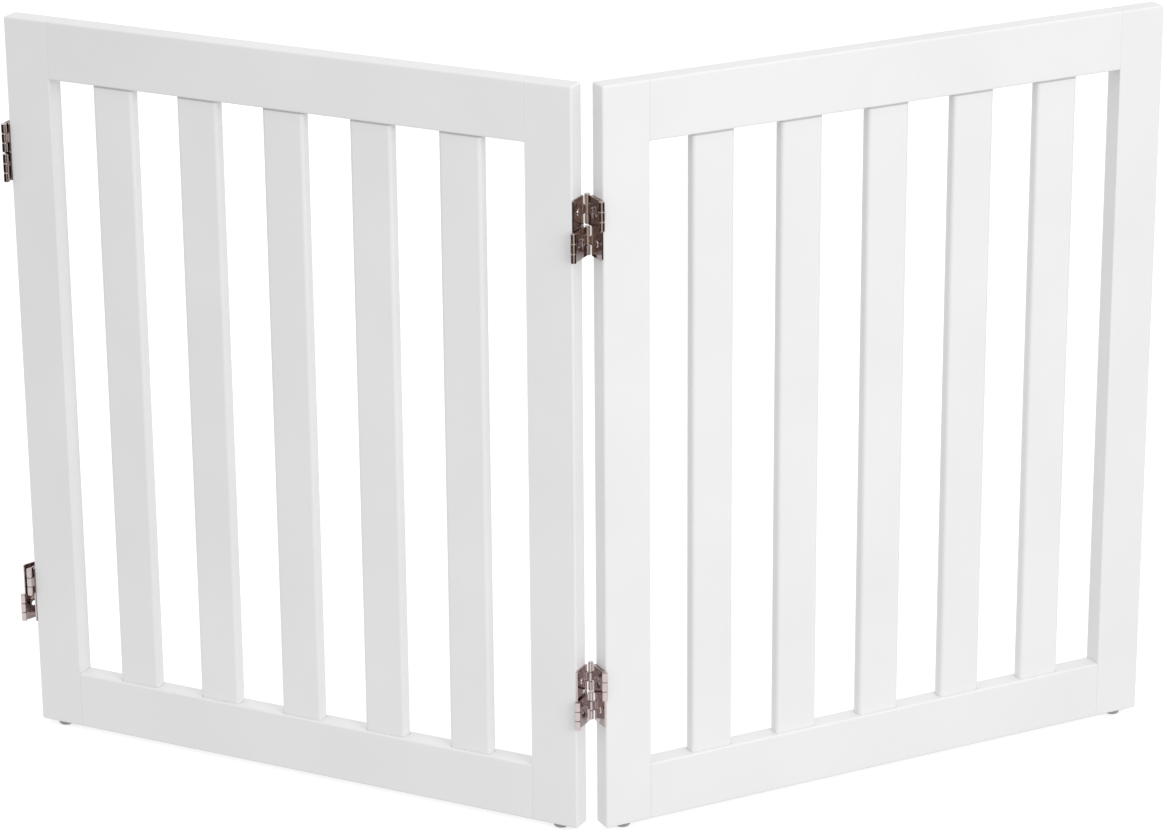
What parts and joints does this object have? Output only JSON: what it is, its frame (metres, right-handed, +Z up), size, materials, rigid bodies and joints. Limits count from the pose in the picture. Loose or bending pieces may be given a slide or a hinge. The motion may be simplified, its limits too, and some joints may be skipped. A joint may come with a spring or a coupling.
{
  "type": "pet gate",
  "caption": "Low folding free-standing pet gate of white slatted wooden panels joined by double-action metal hinges.",
  "frame": {"origin": "middle of the object's outline on the floor", "axes": "+Z up; +X along the gate's length, from the left panel to the right one; +Y to the back, away from the point of the V"},
  "size_m": [0.9368, 0.2552, 0.6136],
  "materials": {
    "white_paint": "satin white paint over solid wood",
    "dowel_beech": "plain unfinished beech",
    "glide_plastic": "moulded grey polyethylene",
    "nail_steel": "drawn bright wire",
    "hinge_plate": "bright nickel plate on stamped steel",
    "hinge_pin": "nickel plate on drawn rod",
    "screw_steel": "nickel plate on cold formed steel"
  },
  "bodies": {
    "left_panel": {"bottom_end_hinge_fixed_leaf": "hinge_plate", "bottom_end_hinge_screws": "screw_steel", "bottom_end_hinge_upper_link": "hinge_plate", "bottom_end_hinge_upper_pins": "hinge_pin", "bottom_hinge_left_leaf": "hinge_plate", "bottom_hinge_left_screws": "screw_steel", "bottom_hinge_lower_link": "hinge_plate", "bottom_hinge_lower_pins": "hinge_pin", "left_bottom_rail": "white_paint", "left_dowels": "dowel_beech", "left_glide_nails": "nail_steel", "left_hinge_glide": "glide_plastic", "left_hinge_stile": "white_paint", "left_outer_glide": "glide_plastic", "left_outer_stile": "white_paint", "left_slat_1": "white_paint", "left_slat_2": "white_paint", "left_slat_3": "white_paint", "left_slat_4": "white_paint", "left_slat_5": "white_paint", "left_top_rail": "white_paint", "top_end_hinge_fixed_leaf": "hinge_plate", "top_end_hinge_screws": "screw_steel", "top_hinge_left_leaf": "hinge_plate", "top_hinge_left_screws": "screw_steel", "top_hinge_lower_link": "hinge_plate", "top_hinge_lower_pins": "hinge_pin"},
    "right_panel": {"bottom_hinge_right_leaf": "hinge_plate", "bottom_hinge_right_screws": "screw_steel", "bottom_hinge_upper_link": "hinge_plate", "bottom_hinge_upper_pins": "hinge_pin", "right_bottom_rail": "white_paint", "right_dowels": "dowel_beech", "right_glide_nails": "nail_steel", "right_hinge_glide": "glide_plastic", "right_hinge_stile": "white_paint", "right_outer_glide": "glide_plastic", "right_outer_stile": "white_paint", "right_slat_1": "white_paint", "right_slat_2": "white_paint", "right_slat_3": "white_paint", "right_slat_4": "white_paint", "right_slat_5": "white_paint", "right_top_rail": "white_paint", "top_hinge_right_leaf": "hinge_plate", "top_hinge_right_screws": "screw_steel", "top_hinge_upper_link": "hinge_plate", "top_hinge_upper_pins": "hinge_pin"},
    "upper_end_link": {"top_end_hinge_upper_link": "hinge_plate", "top_end_hinge_upper_pins": "hinge_pin"},
    "upper_free_leaf": {"top_end_hinge_free_leaf": "hinge_plate"},
    "upper_end_lower_link": {"top_end_hinge_lower_link": "hinge_plate", "top_end_hinge_lower_pins": "hinge_pin"},
    "lower_free_leaf": {"bottom_end_hinge_free_leaf": "hinge_plate", "bottom_end_hinge_lower_link": "hinge_plate", "bottom_end_hinge_lower_pins": "hinge_pin"}
  },
  "joints": [
    {"name": "right_panel_fold", "type": "hinge", "parent": "left_panel", "child": "right_panel", "pos_m": [0.00683, -0.10402, 0.3088], "axis": [0, 0, 1], "range_deg": [-53.46, 126.54]},
    {"name": "upper_end_front_fold", "type": "hinge", "parent": "left_panel", "child": "upper_end_link", "pos_m": [-0.4592, 0.10402, 0.5012], "axis": [0, 0, 1], "range_deg": [0, 175]},
    {"name": "upper_end_back_fold", "type": "hinge", "parent": "upper_end_link", "child": "upper_free_leaf", "pos_m": [-0.44849, 0.12528, 0.5012], "axis": [0, 0, -1], "range_deg": [0, 175]},
    {"name": "upper_end_lower_link_fold", "type": "hinge", "parent": "left_panel", "child": "upper_end_lower_link", "pos_m": [-0.44849, 0.12528, 0.5012], "axis": [0, 0, -1], "range_deg": [0, 175]},
    {"name": "lower_end_back_fold", "type": "hinge", "parent": "left_panel", "child": "lower_free_leaf", "pos_m": [-0.44849, 0.12528, 0.1164], "axis": [0, 0, -1], "range_deg": [-21, 154]}
  ],
  "couplings": [
    {"joint": "upper_end_lower_link_fold", "follows": "upper_end_back_fold", "ratio": 1}
  ]
}
